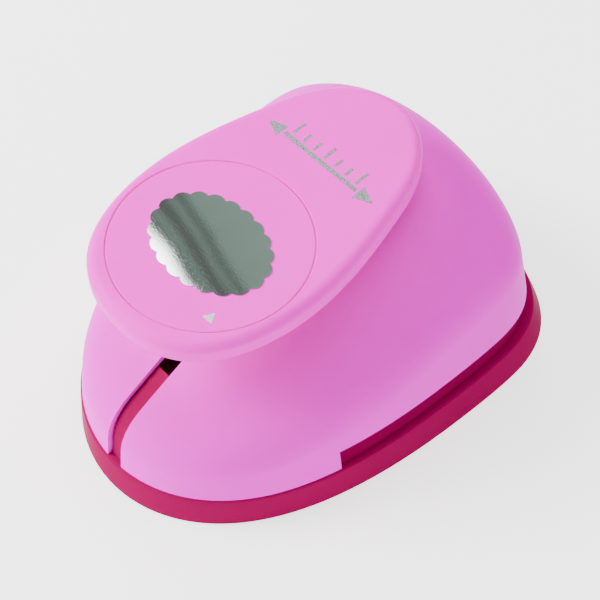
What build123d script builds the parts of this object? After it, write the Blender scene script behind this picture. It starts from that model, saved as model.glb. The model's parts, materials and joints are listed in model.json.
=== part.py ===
from build123d import *
from math import cos, hypot, pi, sin, sqrt, tan, radians
import os

# Lever paper shape punch, millimetres.  +X is the user's right, +Y runs from the pressed nose to the
# paper mouth at the back, +Z is up.  The origin is on the table under the middle of the base.

# ---- driving dimensions ----
LENGTH = 147.0            # base, nose to back
WIDTH = 110.0             # base, at its widest
HEIGHT = 78.0             # table to lever top
CUT_LONG = 76.0           # cut-out, along X
CUT_SHORT = 56.0          # cut-out, along Y
SCALLOPS = 20
LOBE_SHARE = 0.028        # a lobe's height over the long axis
SCALLOP_STEPS = 720       # steps for measuring round the oval
DIE_Y = 4.0               # middle of the cut-out
PIVOT_Y, PIVOT_Z = 40.0, 54.0

# heights of the stack
RIM_Z = 11.8              # top of the base rim, where the housing's nose stands
DIE_BOTTOM_Z, DIE_TOP_Z = 14.0, 17.0
BLOCK_Z, BLOCK_TOP_Z = 19.5, 25.0
MOUTH_TOP_Z = 20.0        # raised lower edge of the housing
PUNCH_EDGE_Z = 20.5       # cutting edge at rest
HEAD_TOP_Z = 28.5
CARRIER_Z, CARRIER_TOP_Z = 31.5, 34.0
ROLLER_Z = 45.0
NOSE_Z = 49.3             # underside of the arm over the roller
LEVER_Z = 70.9            # underside of the lever

# outlines: half width, nose tip, back tip, y of the widest place, fullness of nose and back
BASE_EGG = (WIDTH / 2, -LENGTH / 2, LENGTH / 2, 35.6, 0.40, 0.49)
HOUSING_EGG = (51.9, -71.6, 66.5, 31.0, 0.51, 0.60)
EGG_POINTS = 40

MOUTH_Y = -26.7           # the raised edge starts here
WALL = 2.2
DRAFT = 7.0               # degrees, side wall of the housing
BACK_LEAN = 14.0          # degrees, its back
CROWN_RADIUS = 65.0       # the dome's arch across X
CROWN_SPARE = 5.0         # the arch is drawn this far past the widest place
SHOULDER = 16.0           # rounding between side wall and dome
LONG_EDGE = 20.0          # edges shorter than this are not part of the shoulder
SLIT = 5.6                # width of the slit
SLIT_END_Y = 36.0
# the dome's ridge line: (y, z)
RIDGE = ((-90, 18.0), (-70, 28.5), (-46, 40.5), (-20, 51.5), (7, 60.0),
         (26, 63.7), (40, 63.2), (54, 57.5), (90, 38.0))

DISC_Y = -30.9
DISC_RADIUS = 27.3
GROOVE = 0.15             # gap round the disc
GROOVE_EDGE = 0.35        # rounding each side of it
FOIL_LONG = 38.0          # the badge is the cut-out at half size

# ---- fastenings and fits ----
SCREW_RADIUS = 1.5
SCREW_HOLE = SCREW_RADIUS + 0.1       # clearance hole
SCREW_CORE = SCREW_RADIUS - 0.2       # shank, and the hole that it taps
HEAD_RADIUS = 2.8
HEAD_HEIGHT = 1.8
HEAD_ROUNDING = 0.8
RECESS = (3.0, 0.7, 1.8)              # each slot of the cross recess: long, wide, high
CLIP_GROOVE = 0.8                     # middle of a clip's groove, beyond the ear
PIN_RADIUS = 3.0
PIN_CHAMFER = 0.4
RUNNING_FIT = 0.05
PUNCH_FIT = 0.08                      # between cutting edge and die
OVER = 1.0                            # a cut starts or ends this far outside the piece
FAR = 90.0                            # beyond the whole punch, in any direction


# ---- helpers ----
def blend(first, second, share):
    """Egg part of the way from the first to the second."""
    return tuple(a + (b - a) * share for a, b in zip(first, second))


def egg_points(egg, inset=0.0):
    half, nose, back, widest, nose_full, back_full = egg
    points = []
    for i in range(EGG_POINTS):
        angle = 2 * pi * i / EGG_POINTS
        ahead = cos(angle) < 0
        full = nose_full if ahead else back_full
        reach = widest - nose - inset if ahead else back - inset - widest
        x = (half - inset) * sin(angle) * sqrt(1 + full * cos(angle) ** 2)
        points.append((x, widest + reach * cos(angle)))
    return points


def egg_face(egg, z, inset=0.0):
    points = [(x, y, z) for x, y in egg_points(egg, inset)]
    return Face(Wire([Spline(*points, periodic=True)]))


def egg_block(egg, z_low, z_high, inset_low=0.0, inset_high=0.0, egg_high=None):
    """Solid between two level eggs."""
    low = egg_face(egg, z_low, inset_low)
    high = egg_face(egg_high or egg, z_high, inset_high)
    return Solid.make_loft([low.outer_wire(), high.outer_wire()], ruled=True)


def box(x0, x1, y0, y1, z0, z1):
    return Pos((x0 + x1) / 2, (y0 + y1) / 2, (z0 + z1) / 2) * Box(x1 - x0, y1 - y0, z1 - z0)


def post(x, y, z0, z1, radius):
    return Pos(x, y, (z0 + z1) / 2) * Cylinder(radius, z1 - z0)


def cross_rod(y, z, half, radius):
    """Cylinder along X, from -half to +half."""
    return Pos(0, y, z) * Rot(0, 90, 0) * Cylinder(radius, 2 * half)


def both_sides(x, *ys):
    return [(side * x, y) for y in ys for side in (-1, 1)]


def scallop_face(long_axis, z, y, offset=0.0):
    """Scalloped oval of the given long axis, grown by the offset."""
    long_half = long_axis / 2 + offset
    short_half = long_axis / 2 * CUT_SHORT / CUT_LONG + offset
    lobe = LOBE_SHARE * long_axis
    steps = SCALLOP_STEPS
    at = [(cos(2 * pi * k / steps), sin(2 * pi * k / steps)) for k in range(steps + 1)]
    run = [0.0]
    for (c0, s0), (c1, s1) in zip(at, at[1:]):
        run.append(run[-1] + hypot((c1 - c0) * long_half, (s1 - s0) * short_half))
    marks = []
    for k in range(2 * SCALLOPS):
        goal = run[-1] * k / (2 * SCALLOPS)
        marks.append(min(range(steps), key=lambda i: abs(run[i] - goal)))
    tips = [at[i] for i in marks[0::2]]
    cusps = [at[i] for i in marks[1::2]]
    arcs = []
    for k in range(SCALLOPS):
        (c0, s0), (c1, s1), (c2, s2) = cusps[k - 1], tips[k], cusps[k]
        start = (c0 * (long_half - lobe), y + s0 * (short_half - lobe), z)
        tip = (c1 * long_half, y + s1 * short_half, z)
        end = (c2 * (long_half - lobe), y + s2 * (short_half - lobe), z)
        arcs.append(ThreePointArc(start, tip, end))
    return Face(Wire(arcs))


def scallop_block(z0, z1, offset=0.0):
    return Solid.extrude(scallop_face(CUT_LONG, z0, DIE_Y, offset), Vector(0, 0, z1 - z0))


def side_plate(points, half):
    """Plate across X, from -half to +half, with the given (y, z) outline."""
    wire = Wire.make_polygon([(-half, y, z) for y, z in points])
    return Solid.extrude(Face(wire), Vector(2 * half, 0, 0))


def plan_plate(points, z0, z1):
    wire = Wire.make_polygon([(x, y, z0) for x, y in points])
    return Solid.extrude(Face(wire), Vector(0, 0, z1 - z0))


def dome(inset=0.0, foot=RIM_Z):
    """The housing's outer form down to the foot height, or the same form moved in by the inset."""
    top_z = HEIGHT + 10 * OVER
    lean = tan(radians(DRAFT))
    egg_half, nose, back, *rest = HOUSING_EGG
    back -= (tan(radians(BACK_LEAN)) - lean) * (top_z - RIM_Z)
    top_egg = (egg_half, nose, back, *rest)
    foot_inset = inset + (foot - RIM_Z) * lean
    sides = egg_block(HOUSING_EGG, foot, top_z, foot_inset, inset + (top_z - RIM_Z) * lean, top_egg)
    half = WIDTH / 2 + CROWN_SPARE
    sections = []
    for y, z in RIDGE:
        sag = CROWN_RADIUS - sqrt(CROWN_RADIUS ** 2 - half ** 2)
        peak = z - inset
        left, right = (-half, y, peak - sag), (half, y, peak - sag)
        arch = ThreePointArc(left, (0, y, peak), right)
        floor = Polyline(right, (half, y, -FAR), (-half, y, -FAR), left)
        sections.append(Wire([arch, *floor.edges()]))
    crown = Solid.make_loft(sections)
    body = (sides & crown).solid()
    rim = body.edges().filter_by(lambda e: e.center().Z > RIM_Z + OVER and e.length > LONG_EDGE)
    return body.fillet(SHOULDER - inset, rim)


def place(*solids):
    """Fuse solids into one."""
    body = solids[0]
    for other in solids[1:]:
        body = body + other
    return body


# ---- base ----
SLAB_EGG_INSET = 0.6      # paper table's foot, inside the housing's outline
SLAB_TOP_INSET = 4.0
SLAB_GAP = 0.4            # behind the step of the raised edge
FRONT_SCREWS = both_sides(27.0, -46.0) + both_sides(10.5, -59.0)
CLAMP_SCREWS = both_sides(9.0, -33.0) + both_sides(25.0, -33.0)
REAR_SCREWS = both_sides(30.0, 40.0)
RIM_SHARE = 0.72          # how far the rim's top edge leans in towards the housing's outline
TRAY_FLOOR_Z = 9.3
RIM_ROUNDING = 1.0
TRAY_WALL = 2.6
POCKET_EASE = 1.008       # the die's seat over the die
DIE_OUTLINE = ((-29, -38), (29, -38), (41, -21), (41, 37), (33, 47), (-33, 47), (-41, 37), (-41, -21))
BLOCK_OUTLINE = ((-29, -38), (29, -38), (41.6, -20), (41.6, 37), (33, 47), (-33, 47), (-41.6, 37), (-41.6, -20))
FIN_GAP = 0.5             # each side of the fin, in the slit
FIN_SET_BACK = 1.2
FIN_END_Y = -50.5
WINDOW = (39.0, 29.0)     # half sizes of the hole in the tray under the die
BOSS_RADIUS, REAR_BOSS_RADIUS = 3.6, 4.2
SCREW_REACH = 8.0         # how far a screw goes into its boss


def base_tray():
    rim = egg_block(BASE_EGG, 0, RIM_Z, egg_high=blend(BASE_EGG, HOUSING_EGG, RIM_SHARE))
    rim = rim.fillet(RIM_ROUNDING, rim.edges().group_by(Axis.Z)[-1])
    hollow_top = blend(BASE_EGG, HOUSING_EGG, RIM_SHARE * TRAY_FLOOR_Z / RIM_Z)
    hollow = egg_block(BASE_EGG, -OVER, TRAY_FLOOR_Z, TRAY_WALL, TRAY_WALL, hollow_top)
    slab = egg_block(HOUSING_EGG, TRAY_FLOOR_Z + OVER, DIE_TOP_Z, SLAB_EGG_INSET, SLAB_TOP_INSET)
    slab -= box(-FAR, FAR, -FAR, MOUTH_Y + SLAB_GAP, 0, FAR)
    seat = plan_plate(DIE_OUTLINE, TRAY_FLOOR_Z, DIE_BOTTOM_Z)
    body = place(rim - hollow, slab, seat)
    body -= plan_plate([(x * POCKET_EASE, y * POCKET_EASE) for x, y in DIE_OUTLINE], DIE_BOTTOM_Z, FAR)
    half_x, half_y = WINDOW
    body -= box(-half_x, half_x, DIE_Y - half_y, DIE_Y + half_y, -OVER, FAR)
    for x, y in FRONT_SCREWS + CLAMP_SCREWS:
        body -= post(x, y, 0, FAR, SCREW_HOLE)
    half = SLIT / 2 - FIN_GAP
    fin = Pos(0, FIN_SET_BACK, -FIN_SET_BACK) * dome() & box(-half, half, -FAR, FIN_END_Y, 0, FAR)
    return (body + fin.solid()).solid()


# ---- housing ----
def housing_shell():
    shell = dome() - dome(WALL, RIM_Z - 3 * OVER)
    bosses = [post(x, y, RIM_Z, FAR, BOSS_RADIUS) for x, y in FRONT_SCREWS]
    bosses += [post(x, y, BLOCK_TOP_Z, FAR, REAR_BOSS_RADIUS) for x, y in REAR_SCREWS]
    core = dome(WALL / 2)
    for boss in bosses:
        shell += (boss & core).solid()
    for x, y in FRONT_SCREWS:
        shell -= post(x, y, RIM_Z - OVER, RIM_Z + SCREW_REACH + OVER, SCREW_CORE)
    for x, y in REAR_SCREWS:
        shell -= post(x, y, BLOCK_TOP_Z - OVER, BLOCK_TOP_Z + SCREW_REACH + OVER, SCREW_CORE)
    shell -= box(-SLIT / 2, SLIT / 2, -FAR, SLIT_END_Y, 0, FAR)
    shell -= box(-FAR, FAR, MOUTH_Y, FAR, 0, MOUTH_TOP_Z)
    return shell.solid()


# ---- metal works ----
EAR_INNER, EAR_OUTER = 4.0, 8.0       # ears of the guide block, measured along X
EAR_HALF = 5.8                        # half their length along Y
EAR_FOOT_EXTRA, EAR_FOOT_TOP_Z = 1.2, 36.0
EYE_RADIUS = EAR_HALF - 0.2           # round the pivot, on the lever arm
SCALLOP_GAP = 0.3                     # round the punch in the guide block
SPACER = (-28, 28, -37.5, -28.5)      # x and y limits
HEAD_POCKET = HEAD_HEIGHT + 0.3       # depth of a countersunk head's pocket
SPRING_X, SPRING_DY = 32.0, 24.0
SPRING_PLACES = {
    "front_left": (-SPRING_X, DIE_Y - SPRING_DY),
    "front_right": (SPRING_X, DIE_Y - SPRING_DY),
    "rear_left": (-SPRING_X, DIE_Y + SPRING_DY),
    "rear_right": (SPRING_X, DIE_Y + SPRING_DY),
}
SPRING_RADIUS, SPRING_WIRE = 3.4, 0.45
SPRING_GAP = 0.4                      # round a spring in its well
SPRING_FLOOR_Z = 21.0
SPRING_TURNS = 4


def guide_block():
    body = plan_plate(BLOCK_OUTLINE, BLOCK_Z, BLOCK_TOP_Z)
    body -= scallop_block(BLOCK_Z - OVER, BLOCK_TOP_Z + OVER, SCALLOP_GAP)
    for x, y in SPRING_PLACES.values():
        body -= post(x, y, SPRING_FLOOR_Z, FAR, SPRING_RADIUS + SPRING_WIRE + SPRING_GAP)
    for x, y in CLAMP_SCREWS:
        body -= post(x, y, BLOCK_Z - OVER, BLOCK_TOP_Z - 2 * OVER, SCREW_CORE)
    for x, y in REAR_SCREWS:
        body -= post(x, y, BLOCK_Z - OVER, FAR, SCREW_HOLE)
        body -= post(x, y, BLOCK_Z - OVER, BLOCK_Z + HEAD_POCKET, HEAD_RADIUS + 0.2)
    for side in (-1, 1):
        inner, outer = sorted((side * EAR_INNER, side * EAR_OUTER))
        front, back = PIVOT_Y - EAR_HALF, PIVOT_Y + EAR_HALF
        ear = box(inner, outer, front, back, BLOCK_TOP_Z - OVER, PIVOT_Z)
        cap = cross_rod(PIVOT_Y, PIVOT_Z, EAR_OUTER, EAR_HALF) & box(inner, outer, 0, FAR, 0, FAR)
        foot = box(inner, outer, front, back + EAR_FOOT_EXTRA, BLOCK_TOP_Z - OVER, EAR_FOOT_TOP_Z)
        body += place(ear, cap, foot)
    body -= cross_rod(PIVOT_Y, PIVOT_Z, FAR, PIN_RADIUS + RUNNING_FIT)
    return body.solid()


def gap_spacer():
    body = box(*SPACER, DIE_TOP_Z, BLOCK_Z)
    for x, y in CLAMP_SCREWS:
        body -= post(x, y, 0, FAR, SCREW_HOLE)
    return body.solid()


def die_plate():
    body = plan_plate(DIE_OUTLINE, DIE_BOTTOM_Z, DIE_TOP_Z)
    body -= scallop_block(DIE_BOTTOM_Z - OVER, DIE_TOP_Z + OVER, PUNCH_FIT)
    for x, y in CLAMP_SCREWS:
        body -= post(x, y, 0, FAR, SCREW_HOLE)
    return body.solid()


def screws(places, head_z, tip_z):
    """Cross-recessed screws from under their heads to their tips, driven upwards or downwards."""
    up = 1 if tip_z > head_z else -1
    group = []
    for x, y in places:
        outer_z = head_z - up * HEAD_HEIGHT
        head = post(x, y, *sorted((outer_z, head_z)), HEAD_RADIUS)
        crown = head.edges().group_by(Axis.Z)[0 if up > 0 else -1]
        head = head.fillet(HEAD_ROUNDING, crown)
        screw = head + post(x, y, *sorted((head_z - up * HEAD_HEIGHT / 4, tip_z)), SCREW_CORE)
        for turn in (0, 90):
            screw -= Pos(x, y, outer_z) * Rot(0, 0, turn) * Box(*RECESS)
        group.append(screw.solid())
    return group


PIN_END = 1.8                         # the pivot pin sticks out of the ears this far
GROOVE_WIDTH, GROOVE_DEPTH = 0.9, 0.6
CLIP_RADIUS, CLIP_THICK, CLIP_MOUTH = PIN_RADIUS + 1.8, 0.7, 3.4


def clip_place(side):
    return Pos(side * (EAR_OUTER + CLIP_GROOVE), PIVOT_Y, PIVOT_Z) * Rot(0, 90, 0)


def pivot_pin():
    pin = cross_rod(PIVOT_Y, PIVOT_Z, EAR_OUTER + PIN_END, PIN_RADIUS)
    pin = pin.chamfer(PIN_CHAMFER, None, pin.edges().filter_by(GeomType.CIRCLE))
    for side in (-1, 1):
        groove = Cylinder(PIN_RADIUS + OVER, GROOVE_WIDTH) - Cylinder(PIN_RADIUS - GROOVE_DEPTH, GROOVE_WIDTH)
        pin -= clip_place(side) * groove
    return pin.solid()


def pivot_clips():
    clips = []
    for side in (-1, 1):
        ring = Cylinder(CLIP_RADIUS, CLIP_THICK) - Cylinder(PIN_RADIUS - GROOVE_DEPTH, CLIP_THICK)
        ring -= Pos(-CLIP_RADIUS, 0, 0) * Box(2 * CLIP_RADIUS, CLIP_MOUTH, 2 * OVER)
        clips.append((clip_place(side) * ring).solid())
    return clips


# ---- punch ----
CARRIER_SCREWS = both_sides(18.0, DIE_Y - 9, DIE_Y + 9)
RELIEF, EDGE_WIDTH = 1.2, 2.5         # hollow inside the cutting edge: its depth, and the edge's width
SCREW_TIP_Z = PUNCH_EDGE_Z + 4
RISER_SIZE, RISER_CORNER = (56, 36), 8
FORK_INNER, FORK_OUTER, FORK_HALF = 2.9, 5.7, 5.0
FORK_FOOT_Z = 40.0
CHEEK = 2.6                           # half the length of a fork cheek along Y
CARRIER_SIZE, CARRIER_CORNER = (2 * SPRING_X + 9, 2 * SPRING_DY + 9), 6
RIB_ENDS, RIB_HALF, RIB_TALL = (5, 30), 2, 2
ROLLER_RADIUS, ROLLER_GAP = 4.0, 0.3
ROLLER_PIN_END, ROLLER_PIN_CHAMFER = 0.6, 0.3
PRESS_FIT = 0.01


def punch_head():
    body = scallop_block(PUNCH_EDGE_Z, HEAD_TOP_Z)
    body -= scallop_block(PUNCH_EDGE_Z - OVER, PUNCH_EDGE_Z + RELIEF, -EDGE_WIDTH)
    for x, y in CARRIER_SCREWS:
        body -= post(x, y, SCREW_TIP_Z - OVER, FAR, SCREW_CORE)
    return body.solid()


def punch_riser():
    body = Pos(0, DIE_Y, (HEAD_TOP_Z + CARRIER_Z) / 2) * Box(*RISER_SIZE, CARRIER_Z - HEAD_TOP_Z)
    body = body.fillet(RISER_CORNER, body.edges().filter_by(Axis.Z))
    for x, y in CARRIER_SCREWS:
        body -= post(x, y, 0, FAR, SCREW_HOLE)
    return body.solid()


def punch_carrier():
    plate = Pos(0, DIE_Y, (CARRIER_Z + CARRIER_TOP_Z) / 2) * Box(*CARRIER_SIZE, CARRIER_TOP_Z - CARRIER_Z)
    body = plate.fillet(CARRIER_CORNER, plate.edges().filter_by(Axis.Z))
    foot_z = CARRIER_TOP_Z - OVER
    body += box(-FORK_OUTER, FORK_OUTER, DIE_Y - FORK_HALF, DIE_Y + FORK_HALF, foot_z, FORK_FOOT_Z)
    for side in (-1, 1):
        inner, outer = sorted((side * FORK_INNER, side * FORK_OUTER))
        cheek = box(inner, outer, DIE_Y - CHEEK, DIE_Y + CHEEK, FORK_FOOT_Z - OVER, ROLLER_Z)
        cap = cross_rod(DIE_Y, ROLLER_Z, FORK_OUTER, CHEEK) & box(inner, outer, -FAR, FAR, FORK_FOOT_Z, FAR)
        near, far = sorted(side * end for end in RIB_ENDS)
        rib = box(near, far, DIE_Y - RIB_HALF, DIE_Y + RIB_HALF, foot_z, CARRIER_TOP_Z + RIB_TALL)
        body += place(cheek, cap)
        body += rib
    body -= cross_rod(DIE_Y, ROLLER_Z, FAR, SCREW_RADIUS + PRESS_FIT)
    for x, y in CARRIER_SCREWS:
        body -= post(x, y, 0, FAR, SCREW_HOLE)
    return body.solid()


def roller():
    body = cross_rod(DIE_Y, ROLLER_Z, FORK_INNER - ROLLER_GAP, ROLLER_RADIUS)
    body = body.chamfer(PIN_CHAMFER, None, body.edges().filter_by(GeomType.CIRCLE))
    return (body - cross_rod(DIE_Y, ROLLER_Z, FAR, SCREW_RADIUS + RUNNING_FIT)).solid()


def roller_pin():
    pin = cross_rod(DIE_Y, ROLLER_Z, FORK_OUTER + ROLLER_PIN_END, SCREW_RADIUS)
    return pin.chamfer(ROLLER_PIN_CHAMFER, None, pin.edges().filter_by(GeomType.CIRCLE)).solid()


def return_spring(x, y):
    low, high = SPRING_FLOOR_Z + SPRING_WIRE, CARRIER_Z - SPRING_WIRE
    path = Pos(x, y, low) * Helix((high - low) / SPRING_TURNS, high - low, SPRING_RADIUS)
    wire = Plane(origin=path @ 0, z_dir=path % 0) * Circle(SPRING_WIRE)
    return sweep(wire, path=path, is_frenet=True).solid()


# ---- lever ----
ARM_SCREWS = both_sides(6.2, -16.0, 24.0)
ARM_HALF = 2.2
FLANGE_Z = 69.2
FLANGE = (-9.2, 9.2, -21, 30)         # x and y limits
EYE_GAP = 0.3                         # between the arm's eye and each ear
# the lever's plan, measured from the disc's middle: tips, and one side from front to rear
LEVER_TIPS = (-32.2, 70.4)
LEVER_SIDE = ((22.7, -22.6), (31.3, 4.6), (25.7, 41.5), (16.6, 62.0))
LEVER_WALL, LEVER_SKIN = 2.4, 2.2     # its side, and its top
LEVER_ROUNDING, LEVER_EDGE = 3.0, 0.8
LEVER_BOSS = 3.0
COVER_INSET, COVER_Z, COVER_THICK = 2.6, LEVER_Z + 0.3, 1.5
BOSS_FOOT_Z, BOSS_TOP_Z = COVER_Z + COVER_THICK, HEIGHT - 1.5
RECESS_DEPTH, DISC_SUNK = 0.8, 0.05   # the disc's seat, and the disc's top under the lever's
FOIL_THICK = 0.25


def lever_face(z, inset=0.0):
    """The lever's plan at height z, or the same plan moved in by about the inset."""
    front, rear = LEVER_TIPS
    middle = (front + rear) / 2
    points = [(0, front), *LEVER_SIDE, (0, rear), *[(-x, y) for x, y in reversed(LEVER_SIDE)]]
    across = 1 - inset / max(x for x, y in LEVER_SIDE)
    along = 1 - 2 * inset / (rear - front)
    at = [(x * across, DISC_Y + middle + (y - middle) * along, z) for x, y in points]
    return Face(Wire([Spline(*at, periodic=True)]))


def lever_paddle():
    body = Solid.extrude(lever_face(LEVER_Z), Vector(0, 0, HEIGHT - LEVER_Z))
    body = body.fillet(LEVER_ROUNDING, body.edges().group_by(Axis.Z)[-1])
    body = body.fillet(LEVER_EDGE, body.edges().group_by(Axis.Z)[0])
    hollow = Vector(0, 0, HEIGHT - LEVER_SKIN - LEVER_Z + OVER)
    body -= Solid.extrude(lever_face(LEVER_Z - OVER, LEVER_WALL), hollow)
    for x, y in ARM_SCREWS:
        body += post(x, y, BOSS_FOOT_Z, BOSS_TOP_Z, LEVER_BOSS)
        body -= post(x, y, 0, HEIGHT - LEVER_SKIN, SCREW_CORE)
    seat_radius = DISC_RADIUS + GROOVE
    body -= post(0, DISC_Y, HEIGHT - RECESS_DEPTH, HEIGHT + OVER, seat_radius)
    lip = body.edges().filter_by(GeomType.CIRCLE).filter_by(lambda e: abs(e.radius - seat_radius) < GROOVE)
    body = body.fillet(GROOVE_EDGE, lip.group_by(Axis.Z)[-1])
    return body.solid()


def motif_disc():
    body = post(0, DISC_Y, HEIGHT - RECESS_DEPTH, HEIGHT - DISC_SUNK, DISC_RADIUS)
    return body.fillet(GROOVE_EDGE, body.edges().group_by(Axis.Z)[-1]).solid()


def motif_foil():
    face = scallop_face(FOIL_LONG, HEIGHT - DISC_SUNK, DISC_Y)
    return Solid.extrude(face, Vector(0, 0, FOIL_THICK))


def lever_cover():
    body = Solid.extrude(lever_face(COVER_Z, COVER_INSET), Vector(0, 0, COVER_THICK))
    for x, y in ARM_SCREWS:
        body -= post(x, y, 0, FAR, SCREW_HOLE)
    return body.solid()


def lever_arm():
    eye_top = PIVOT_Z + EYE_RADIUS
    blade = side_plate((
        (-22, LEVER_Z), (33.5, LEVER_Z), (34, eye_top + 0.5), (PIVOT_Y + 2, eye_top - 0.5),
        (PIVOT_Y, PIVOT_Z - EYE_RADIUS), (12, NOSE_Z), (DIE_Y - 4, NOSE_Z), (DIE_Y - 8, 52.5), (-22, 64.5),
    ), ARM_HALF)
    eye = cross_rod(PIVOT_Y, PIVOT_Z, EAR_INNER - EYE_GAP, EYE_RADIUS)
    body = place(blade, box(*FLANGE, FLANGE_Z, COVER_Z), eye)
    body -= cross_rod(PIVOT_Y, PIVOT_Z, FAR, PIN_RADIUS + RUNNING_FIT)
    for x, y in ARM_SCREWS:
        body -= post(x, y, 0, FAR, SCREW_HOLE)
    return body.solid()


def write(name, *solids):
    shape = solids[0] if len(solids) == 1 else Compound(list(solids))
    export_step(shape, f"parts/{name}.step")


def main():
    os.makedirs("parts", exist_ok=True)
    write("base_tray", base_tray())
    write("housing_shell", housing_shell())
    write("guide_block", guide_block())
    write("gap_spacer", gap_spacer())
    write("die_plate", die_plate())
    write("clamp_screws", *screws(CLAMP_SCREWS, TRAY_FLOOR_Z, BLOCK_TOP_Z - 3 * OVER))
    write("front_housing_screws", *screws(FRONT_SCREWS, TRAY_FLOOR_Z, RIM_Z + SCREW_REACH))
    write("rear_housing_screws", *screws(REAR_SCREWS, BLOCK_Z + HEAD_POCKET, BLOCK_TOP_Z + SCREW_REACH))
    write("pivot_pin", pivot_pin())
    write("pivot_clips", *pivot_clips())
    write("punch_head", punch_head())
    write("punch_riser", punch_riser())
    write("punch_carrier", punch_carrier())
    write("carrier_screws", *screws(CARRIER_SCREWS, CARRIER_TOP_Z, SCREW_TIP_Z))
    write("roller", roller())
    write("roller_pin", roller_pin())
    for corner, (x, y) in SPRING_PLACES.items():
        write(f"return_spring_{corner}", return_spring(x, y))
    write("lever_paddle", lever_paddle())
    write("motif_disc", motif_disc())
    write("motif_foil", motif_foil())
    write("lever_cover", lever_cover())
    write("lever_arm", lever_arm())
    write("arm_screws", *screws(ARM_SCREWS, FLANGE_Z, HEIGHT - LEVER_SKIN - 0.3))


main()
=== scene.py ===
import json
import math

import bmesh
import bpy
from mathutils import Matrix, Vector


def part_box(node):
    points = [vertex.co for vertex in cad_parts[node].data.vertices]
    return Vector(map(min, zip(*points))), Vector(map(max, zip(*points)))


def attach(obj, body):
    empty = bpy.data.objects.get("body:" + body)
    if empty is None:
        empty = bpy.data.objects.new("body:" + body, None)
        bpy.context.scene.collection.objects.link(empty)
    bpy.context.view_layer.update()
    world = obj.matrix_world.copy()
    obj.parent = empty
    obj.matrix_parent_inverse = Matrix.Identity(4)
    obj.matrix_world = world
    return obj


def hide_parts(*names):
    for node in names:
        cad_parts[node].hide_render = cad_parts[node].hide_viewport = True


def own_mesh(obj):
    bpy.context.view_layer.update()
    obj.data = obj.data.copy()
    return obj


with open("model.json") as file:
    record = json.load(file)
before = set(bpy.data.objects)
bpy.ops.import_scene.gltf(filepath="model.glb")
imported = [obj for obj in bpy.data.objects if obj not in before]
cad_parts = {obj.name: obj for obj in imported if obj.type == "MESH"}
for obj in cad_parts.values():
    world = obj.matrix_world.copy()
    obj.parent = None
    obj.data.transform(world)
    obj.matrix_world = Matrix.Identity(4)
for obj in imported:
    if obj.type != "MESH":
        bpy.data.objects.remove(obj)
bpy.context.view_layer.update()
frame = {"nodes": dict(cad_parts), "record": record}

MM = 0.001

# ---- camera: where it stands and looks, in the part's own frame (metres) ----
CAMERA_AT = Vector((0.1933, -0.1832, 0.4166))
CAMERA_AZIMUTH = math.radians(46.37)
CAMERA_ELEVATION = math.radians(56.13)
LENS = 96.9
SENSOR = 36.0
CLIP = (0.01, 20.0)

# ---- colours, linear ----
HOUSING_PINK = (0.88, 0.0, 0.68)
LEVER_PINK = (0.99, 0.0, 0.66)
BASE_RED = (0.245, 0.0, 0.060)
FOIL = (0.74, 0.80, 0.77)
PRINT = (0.30, 0.31, 0.33)
ZINC = (0.52, 0.53, 0.56)
TURNED_STEEL = (0.60, 0.60, 0.62)
GROUND_STEEL = (0.56, 0.57, 0.60)
PLATED_STEEL = (0.62, 0.62, 0.60)
SPRING_STEEL = (0.48, 0.48, 0.52)
FLOOR_DARK, FLOOR_LIGHT = (0.93, 0.93, 0.93), (0.96, 0.96, 0.96)
WHITE = (1, 1, 1, 1)

# ---- lights: name, place, size, power ----
LAMPS = (
    ("key", (-0.9, -0.75, 1.0), (0.8, 0.8), 50),
    ("fill", (0.8, -1.1, 0.6), (1.2, 1.2), 3),
    ("top", (0.0, 0.2, 1.5), (1.0, 0.8), 20),
)
LIT_POINT = (0, 0, 0.04)
WORLD_STRENGTH = 0.34
FLOOR_GLOW = 1.6
FLOOR_HALF = 4.0
FLOOR_DROP = 0.2 * MM

# ---- prints ----
PRINT_THICK = 0.06 * MM
PRINT_RAISED = 0.05 * MM
ARROW_BEHIND_DISC = 12.0 * MM
ARROW_HALF = 20.0 * MM
ARROW_HEAD = 5.4 * MM
ARROW_BARB = 2.4 * MM
SHAFT_HALF = 0.7 * MM
SHAFT_GAP = 0.8 * MM            # between shaft and head
TICK_STEP = ARROW_HALF / 5
TICKS_EACH_SIDE = 3
TICK_HALF = 0.45 * MM
TICK_GAP = 0.9 * MM             # between shaft and tick
TICK_TALL, TICK_SHORT = 4.6 * MM, 3.0 * MM
MARK_OFFSET = (17.0 * MM, -15.6 * MM)
MARK_RADIUS = 2.0 * MM

# ---- return springs ----
CORNERS = ("front_left", "front_right", "rear_left", "rear_right")
WIRE = 0.45 * MM
TURNS = 4
STEPS_PER_TURN = 28
WIRE_SIDES = 10
END_CLOSING = 0.075             # how far the end coils lean towards closing

# ---- the card that the foil mirrors ----
CARD_HALF = 0.22
CARD_DISTANCE = 1.2
BAND_SLANT, BAND_RANGE = (0.82, 0.57, 0.02), (-0.046, 0.084)
GLARE_SLANT, GLARE_RANGE = (0.80, 0.60, 0.03), (-0.046, -0.020)
GLARE = (15.0, 16.0, 16.0)
CARD_TINT = (0.66, 1.0, 0.84)
# the bands across the card: (place, shade)
BANDS = ((0.0, 0.30), (0.10, 0.20), (0.17, 0.06), (0.24, 0.19), (0.29, 0.02),
         (0.33, 0.02), (0.38, 0.19), (0.43, 0.03), (0.50, 0.26), (1.0, 0.34))


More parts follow.
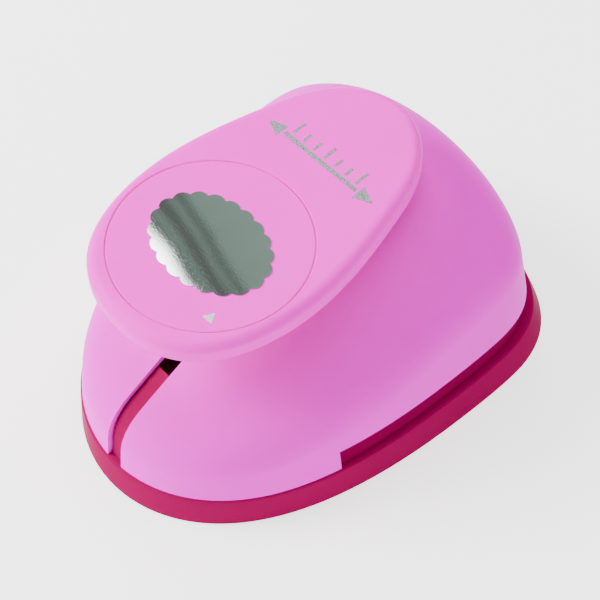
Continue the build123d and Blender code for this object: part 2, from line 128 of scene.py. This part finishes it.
# ---------------------------------------------------------------- node helpers
class Shader:
    """A node material in the making."""

    def __init__(self, name):
        self.material = bpy.data.materials.new(name)
        self.material.use_nodes = True
        self.tree = self.material.node_tree
        self.base = self.tree.nodes["Principled BSDF"]
        self.place = self.add("ShaderNodeTexCoord").outputs["Object"]

    def add(self, kind, **values):
        node = self.tree.nodes.new(kind)
        for key, value in values.items():
            setattr(node, key, value)
        return node

    def link(self, source, target):
        self.tree.links.new(source, target)

    def feed(self, **sources):
        """Links sources to the main shader's own sockets; underscores stand for spaces."""
        for key, source in sources.items():
            self.link(source, self.base.inputs[key.replace("_", " ")])

    def set(self, **values):
        """Sets the main shader's own sockets; underscores stand for spaces."""
        for key, value in values.items():
            self.base.inputs[key.replace("_", " ")].default_value = value

    def noise(self, size_mm, detail=3.0, rough=0.5, stretch=None):
        """Noise whose cells are about size_mm across."""
        source = self.place
        if stretch:
            mapping = self.add("ShaderNodeMapping")
            mapping.inputs["Scale"].default_value = stretch
            self.link(source, mapping.inputs["Vector"])
            source = mapping.outputs["Vector"]
        node = self.add("ShaderNodeTexNoise")
        node.inputs["Scale"].default_value = 1 / (size_mm * MM)
        node.inputs["Detail"].default_value = detail
        node.inputs["Roughness"].default_value = rough
        self.link(source, node.inputs["Vector"])
        return node.outputs["Fac"]

    def scale(self, value, low, high, start=0.3, end=0.7):
        """Maps the value's start..end to low..high."""
        node = self.add("ShaderNodeMapRange")
        node.inputs["From Min"].default_value = start
        node.inputs["From Max"].default_value = end
        node.inputs["To Min"].default_value = low
        node.inputs["To Max"].default_value = high
        self.link(value, node.inputs["Value"])
        return node.outputs["Result"]

    def mix(self, factor, first, second):
        """Colour mix; first and second are colours or sockets."""
        node = self.add("ShaderNodeMix", data_type="RGBA")
        for socket, value in ((6, first), (7, second)):
            if isinstance(value, tuple):
                node.inputs[socket].default_value = (*value, 1.0)
            else:
                self.link(value, node.inputs[socket])
        self.link(factor, node.inputs[0])
        return node.outputs[2]

    def total(self, *terms):
        """Sum of the (socket, factor) terms."""
        result = None
        for socket, factor in terms:
            node = self.add("ShaderNodeMath", operation="MULTIPLY_ADD")
            self.link(socket, node.inputs[0])
            node.inputs[1].default_value = factor
            node.inputs[2].default_value = 0.0
            if result is not None:
                self.link(result, node.inputs[2])
            result = node.outputs[0]
        return result

    def bump(self, height, depth_mm, strength=1.0, under=None):
        node = self.add("ShaderNodeBump")
        node.inputs["Strength"].default_value = strength
        node.inputs["Distance"].default_value = depth_mm * MM
        self.link(height, node.inputs["Height"])
        if under is not None:
            self.link(under, node.inputs["Normal"])
        return node.outputs["Normal"]


def tint(colour, factor):
    return tuple(min(1.0, max(0.0, c * factor)) for c in colour)


# ---------------------------------------------------------------- materials
def moulded(name, colour, rough, shine):
    """Injection-moulded plastic: spark-fine texture, cloudy gloss, rubbed edges, hairline scuffs."""
    s = Shader(name)
    cloud = s.noise(28, 4)
    wear = s.add("ShaderNodeNewGeometry").outputs["Pointiness"]
    edge = s.scale(wear, 0.0, 0.6, 0.54, 0.64)
    body = s.mix(s.scale(cloud, 0.0, 1.0), tint(colour, 0.965), tint(colour, 1.03))
    scuffs = s.noise(5, 6, 0.7, (1.0, 9.0, 3.0))
    gloss = s.scale(cloud, rough - 0.03, rough + 0.04)
    dull = s.scale(scuffs, 0.0, 0.10, 0.60, 0.72)
    fine = s.bump(s.noise(0.28, 2), 0.012, 0.55)
    s.feed(Base_Color=s.mix(edge, body, tint(colour, 1.25)),
           Roughness=s.total((gloss, 1.0), (dull, 1.0)),
           Normal=s.bump(s.noise(38, 2), 0.10, 0.25, fine))
    s.set(IOR=1.49, Specular_IOR_Level=shine)
    return s.material


def metal(name, colour, rough, grind=None, grain_mm=0.4, pits=0.02):
    """Metal with a ground or cast surface; grind stretches the marks along one axis."""
    s = Shader(name)
    marks = s.noise(grain_mm, 4, 0.6, grind)
    stain = s.noise(12, 5)
    s.feed(Base_Color=s.mix(s.scale(stain, 0.0, 1.0), tint(colour, 0.82), tint(colour, 1.08)),
           Roughness=s.scale(marks, rough - 0.07, rough + 0.10),
           Normal=s.bump(marks, pits, 0.5))
    s.set(Metallic=1.0)
    return s.material


def foil():
    """Mirror foil, hot-stamped: bright, a little wavy, with fine orange peel."""
    s = Shader("mirror_foil")
    waves = s.noise(9, 1, 0.4, (1.0, 0.45, 1.0))
    peel = s.noise(0.55, 3)
    s.feed(Base_Color=s.mix(s.scale(waves, 0.0, 1.0), tint(FOIL, 0.93), FOIL),
           Roughness=s.scale(peel, 0.01, 0.03),
           Normal=s.bump(peel, 0.004, 0.5, s.bump(waves, 0.05, 0.20)))
    s.set(Metallic=1.0)
    return s.material


def stamped_print():
    """Silver-grey pigment foil, thin and slightly speckled."""
    s = Shader("stamped_print")
    speck = s.noise(0.4, 3)
    s.feed(Base_Color=s.mix(s.scale(speck, 0.0, 1.0), tint(PRINT, 0.88), tint(PRINT, 1.1)),
           Roughness=s.scale(speck, 0.22, 0.36),
           Normal=s.bump(speck, 0.01, 0.4))
    s.set(Metallic=0.75)
    return s.material


def floor_paint():
    """Matt white, glowing a little so that it stays pale behind the object."""
    s = Shader("floor_paint")
    s.feed(Base_Color=s.mix(s.scale(s.noise(160, 2), 0.0, 1.0), FLOOR_DARK, FLOOR_LIGHT))
    s.set(Roughness=0.9, Emission_Color=WHITE, Emission_Strength=FLOOR_GLOW)
    return s.material


def card_stripes():
    """Grey-green bands aslant, with a white glare at the lower left."""
    s = Shader("card_stripes")
    split = s.add("ShaderNodeSeparateXYZ")
    s.link(s.place, split.inputs[0])

    def across(slant, reach, first, last):
        """A ramp from first to last, along the slant's direction, with a slow wander in it."""
        along = s.total(*zip((split.outputs["X"], split.outputs["Y"], s.noise(120, 2)), slant))
        return s.scale(along, first, last, *reach)

    ramp = s.add("ShaderNodeValToRGB")
    s.link(across(BAND_SLANT, BAND_RANGE, 0.0, 1.0), ramp.inputs["Fac"])
    stops = ramp.color_ramp.elements
    while len(stops) < len(BANDS):
        stops.new(0.5)
    for stop, (at, shade) in zip(stops, BANDS):
        stop.position = at
        stop.color = (*(shade * c for c in CARD_TINT), 1)
    glare = across(GLARE_SLANT, GLARE_RANGE, 1.0, 0.0)
    s.feed(Emission_Color=s.mix(glare, ramp.outputs["Color"], GLARE))
    s.set(Emission_Strength=1.0, Roughness=0.9, Base_Color=(0.02, 0.02, 0.02, 1))
    return s.material


def dress_frame():
    """Gives every carried-over CAD node its material, by its slot in the record."""
    by_slot = {
        "base_plastic": moulded("base_raspberry", BASE_RED, 0.30, 0.001),
        "housing_plastic": moulded("housing_pink", HOUSING_PINK, 0.42, 0.025),
        "lever_plastic": moulded("lever_pink", LEVER_PINK, 0.40, 0.025),
        "silver_foil": foil(),
        "cast_zinc": metal("cast_zinc", ZINC, 0.42, grain_mm=0.5, pits=0.05),
        "steel": metal("turned_steel", TURNED_STEEL, 0.25, (6.0, 1.0, 1.0), 0.5),
        "die_steel": metal("ground_steel", GROUND_STEEL, 0.24, (1.0, 14.0, 1.0), 0.9),
        "screw_steel": metal("plated_screws", PLATED_STEEL, 0.28),
        "spring_steel": metal("spring_wire", SPRING_STEEL, 0.30),
    }
    for part in frame["record"]["subparts"]:
        node = frame["nodes"][part["node"]]
        for place in node.material_slots:
            place.material = by_slot[part["material_slot"]]
    return by_slot


# ---------------------------------------------------------------- pieces
def mesh_piece(name, build, material, body):
    """A new piece from a bmesh-building function."""
    data = bpy.data.meshes.new(name)
    bm = bmesh.new()
    build(bm)
    bmesh.ops.recalc_face_normals(bm, faces=bm.faces)
    bm.to_mesh(data)
    bm.free()
    data.materials.append(material)
    piece = bpy.data.objects.new(name, data)
    bpy.context.collection.objects.link(piece)
    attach(piece, body)
    return piece


def stamped(bm, outline, top):
    """A thin flat piece from a closed outline of (x, y), its top at the given height."""
    lower = [bm.verts.new((x, y, top - PRINT_THICK)) for x, y in outline]
    upper = [bm.verts.new((x, y, top)) for x, y in outline]
    bm.faces.new(upper)
    bm.faces.new(list(reversed(lower)))
    count = len(outline)
    for i in range(count):
        j = (i + 1) % count
        bm.faces.new((lower[i], lower[j], upper[j], upper[i]))


def oblong(x0, x1, y0, y1):
    return [(x0, y0), (x1, y0), (x1, y1), (x0, y1)]


def size_print(material):
    """A double-headed measuring arrow with ruler ticks, where the size is printed."""
    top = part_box("lever_paddle")[1].z + PRINT_RAISED
    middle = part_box("motif_disc")[1].y + ARROW_BEHIND_DISC

    def build(bm):
        root = ARROW_HALF - ARROW_HEAD
        for side in (-1, 1):
            barbs = [(side * root, middle + ARROW_BARB), (side * root, middle - ARROW_BARB)]
            stamped(bm, [(side * ARROW_HALF, middle), *barbs], top)
        bar = root - SHAFT_GAP
        stamped(bm, oblong(-bar, bar, middle - SHAFT_HALF, middle + SHAFT_HALF), top)
        foot = middle + SHAFT_HALF + TICK_GAP
        for k in range(-TICKS_EACH_SIDE, TICKS_EACH_SIDE + 1):
            tall = TICK_TALL if k % TICKS_EACH_SIDE == 0 else TICK_SHORT
            x = k * TICK_STEP
            stamped(bm, oblong(x - TICK_HALF, x + TICK_HALF, foot, foot + tall), top)

    mesh_piece("size_arrow_print", build, material, "lever")


def corner_mark(material):
    """A small triangle where the disc carries its small mark."""
    disc_low, disc_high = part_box("motif_disc")
    centre = (disc_low + disc_high) / 2
    top = disc_high.z + PRINT_RAISED

    def build(bm):
        x, y = centre.x + MARK_OFFSET[0], centre.y + MARK_OFFSET[1]
        points = []
        for k in range(3):
            turn = math.radians(90 + 120 * k)
            points.append((x + MARK_RADIUS * math.cos(turn), y + MARK_RADIUS * math.sin(turn)))
        stamped(bm, points, top)

    mesh_piece("corner_mark_print", build, material, "lever")


def live_spring(node_name, material):
    """A coil in place of the rigid CAD spring, carried by the body."""
    low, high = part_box(node_name)
    radius = (high.x - low.x) / 2 - WIRE
    centre = (low + high) / 2
    floor = low.z + WIRE
    rise = high.z - low.z - 2 * WIRE

    def build(bm):
        rings = []
        for i in range(TURNS * STEPS_PER_TURN + 1):
            share = i / (TURNS * STEPS_PER_TURN)
            angle = 2 * math.pi * TURNS * share
            # the pitch is least at the ends, as on a real compression spring
            eased = share - END_CLOSING * math.sin(2 * math.pi * share)
            out = Vector((math.cos(angle), math.sin(angle), 0))
            hub = Vector((centre.x, centre.y, floor + rise * eased)) + out * radius
            ring = []
            for k in range(WIRE_SIDES):
                turn = 2 * math.pi * k / WIRE_SIDES
                offset = out * math.cos(turn) + Vector((0, 0, 1)) * math.sin(turn)
                ring.append(bm.verts.new(hub + offset * WIRE))
            rings.append(ring)
        for a, b in zip(rings, rings[1:]):
            for k in range(WIRE_SIDES):
                j = (k + 1) % WIRE_SIDES
                face = bm.faces.new((a[k], a[j], b[j], b[k]))
                face.smooth = True
        bm.faces.new(rings[0])
        bm.faces.new(rings[-1])

    piece = mesh_piece(node_name.replace("return_spring", "coil"), build, material, "body")
    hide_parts(node_name)
    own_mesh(piece)


# ---------------------------------------------------------------- stage
def picture_axes():
    """The camera's right and up directions."""
    azimuth, rise = CAMERA_AZIMUTH, CAMERA_ELEVATION
    right = Vector((math.cos(azimuth), math.sin(azimuth), 0))
    up = Vector((-math.sin(azimuth) * math.sin(rise), math.cos(azimuth) * math.sin(rise), math.cos(rise)))
    return right, up


def placed(origin, x_axis, y_axis):
    """The matrix that stands something at the origin, with its x and y along the two axes."""
    turn = Matrix((x_axis, y_axis, x_axis.cross(y_axis))).transposed()
    return Matrix.Translation(origin) @ turn.to_4x4()


def add_camera():
    data = bpy.data.cameras.new("camera")
    data.lens = LENS
    data.sensor_width = SENSOR
    data.clip_start, data.clip_end = CLIP
    camera = bpy.data.objects.new("camera", data)
    camera.matrix_world = placed(CAMERA_AT, *picture_axes())
    bpy.context.collection.objects.link(camera)
    bpy.context.scene.camera = camera


def soft_light(name, at, size, power):
    data = bpy.data.lights.new(name, "AREA")
    data.shape = "RECTANGLE"
    data.size, data.size_y = size
    data.energy = power
    lamp = bpy.data.objects.new(name, data)
    lamp.location = at
    lamp.rotation_mode = "QUATERNION"
    lamp.rotation_quaternion = (Vector(LIT_POINT) - Vector(at)).to_track_quat("-Z", "Y")
    bpy.context.collection.objects.link(lamp)


def sheet(name, half, material, matrix):
    """A square stage sheet of the given half width."""
    data = bpy.data.meshes.new(name)
    corners = [(-half, -half, 0), (half, -half, 0), (half, half, 0), (-half, half, 0)]
    data.from_pydata(corners, [], [(0, 1, 2, 3)])
    data.materials.append(material)
    piece = bpy.data.objects.new(name, data)
    piece.matrix_world = matrix
    bpy.context.collection.objects.link(piece)


def reflection_card():
    """A striped card out of view, placed where the mirror foil reflects it."""
    right, up = picture_axes()
    foil_low, foil_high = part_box("motif_foil")
    middle = (foil_low + foil_high) / 2
    mirrored = Vector((1, 1, -1))
    sight = (middle - CAMERA_AT).normalized() * mirrored
    sheet("reflection_card", CARD_HALF, card_stripes(),
          placed(middle + sight * CARD_DISTANCE, right, up * mirrored))


def studio():
    world = bpy.data.worlds.new("studio")
    world.use_nodes = True
    background = world.node_tree.nodes["Background"]
    background.inputs["Color"].default_value = WHITE
    background.inputs["Strength"].default_value = WORLD_STRENGTH
    bpy.context.scene.world = world
    sheet("floor", FLOOR_HALF, floor_paint(), Matrix.Translation((0, 0, -FLOOR_DROP)))
    for lamp in LAMPS:
        soft_light(*lamp)
    reflection_card()


def main():
    add_camera()
    studio()
    slots = dress_frame()
    ink = stamped_print()
    size_print(ink)
    corner_mark(ink)
    for corner in CORNERS:
        live_spring(f"return_spring_{corner}", slots["spring_steel"])


main()
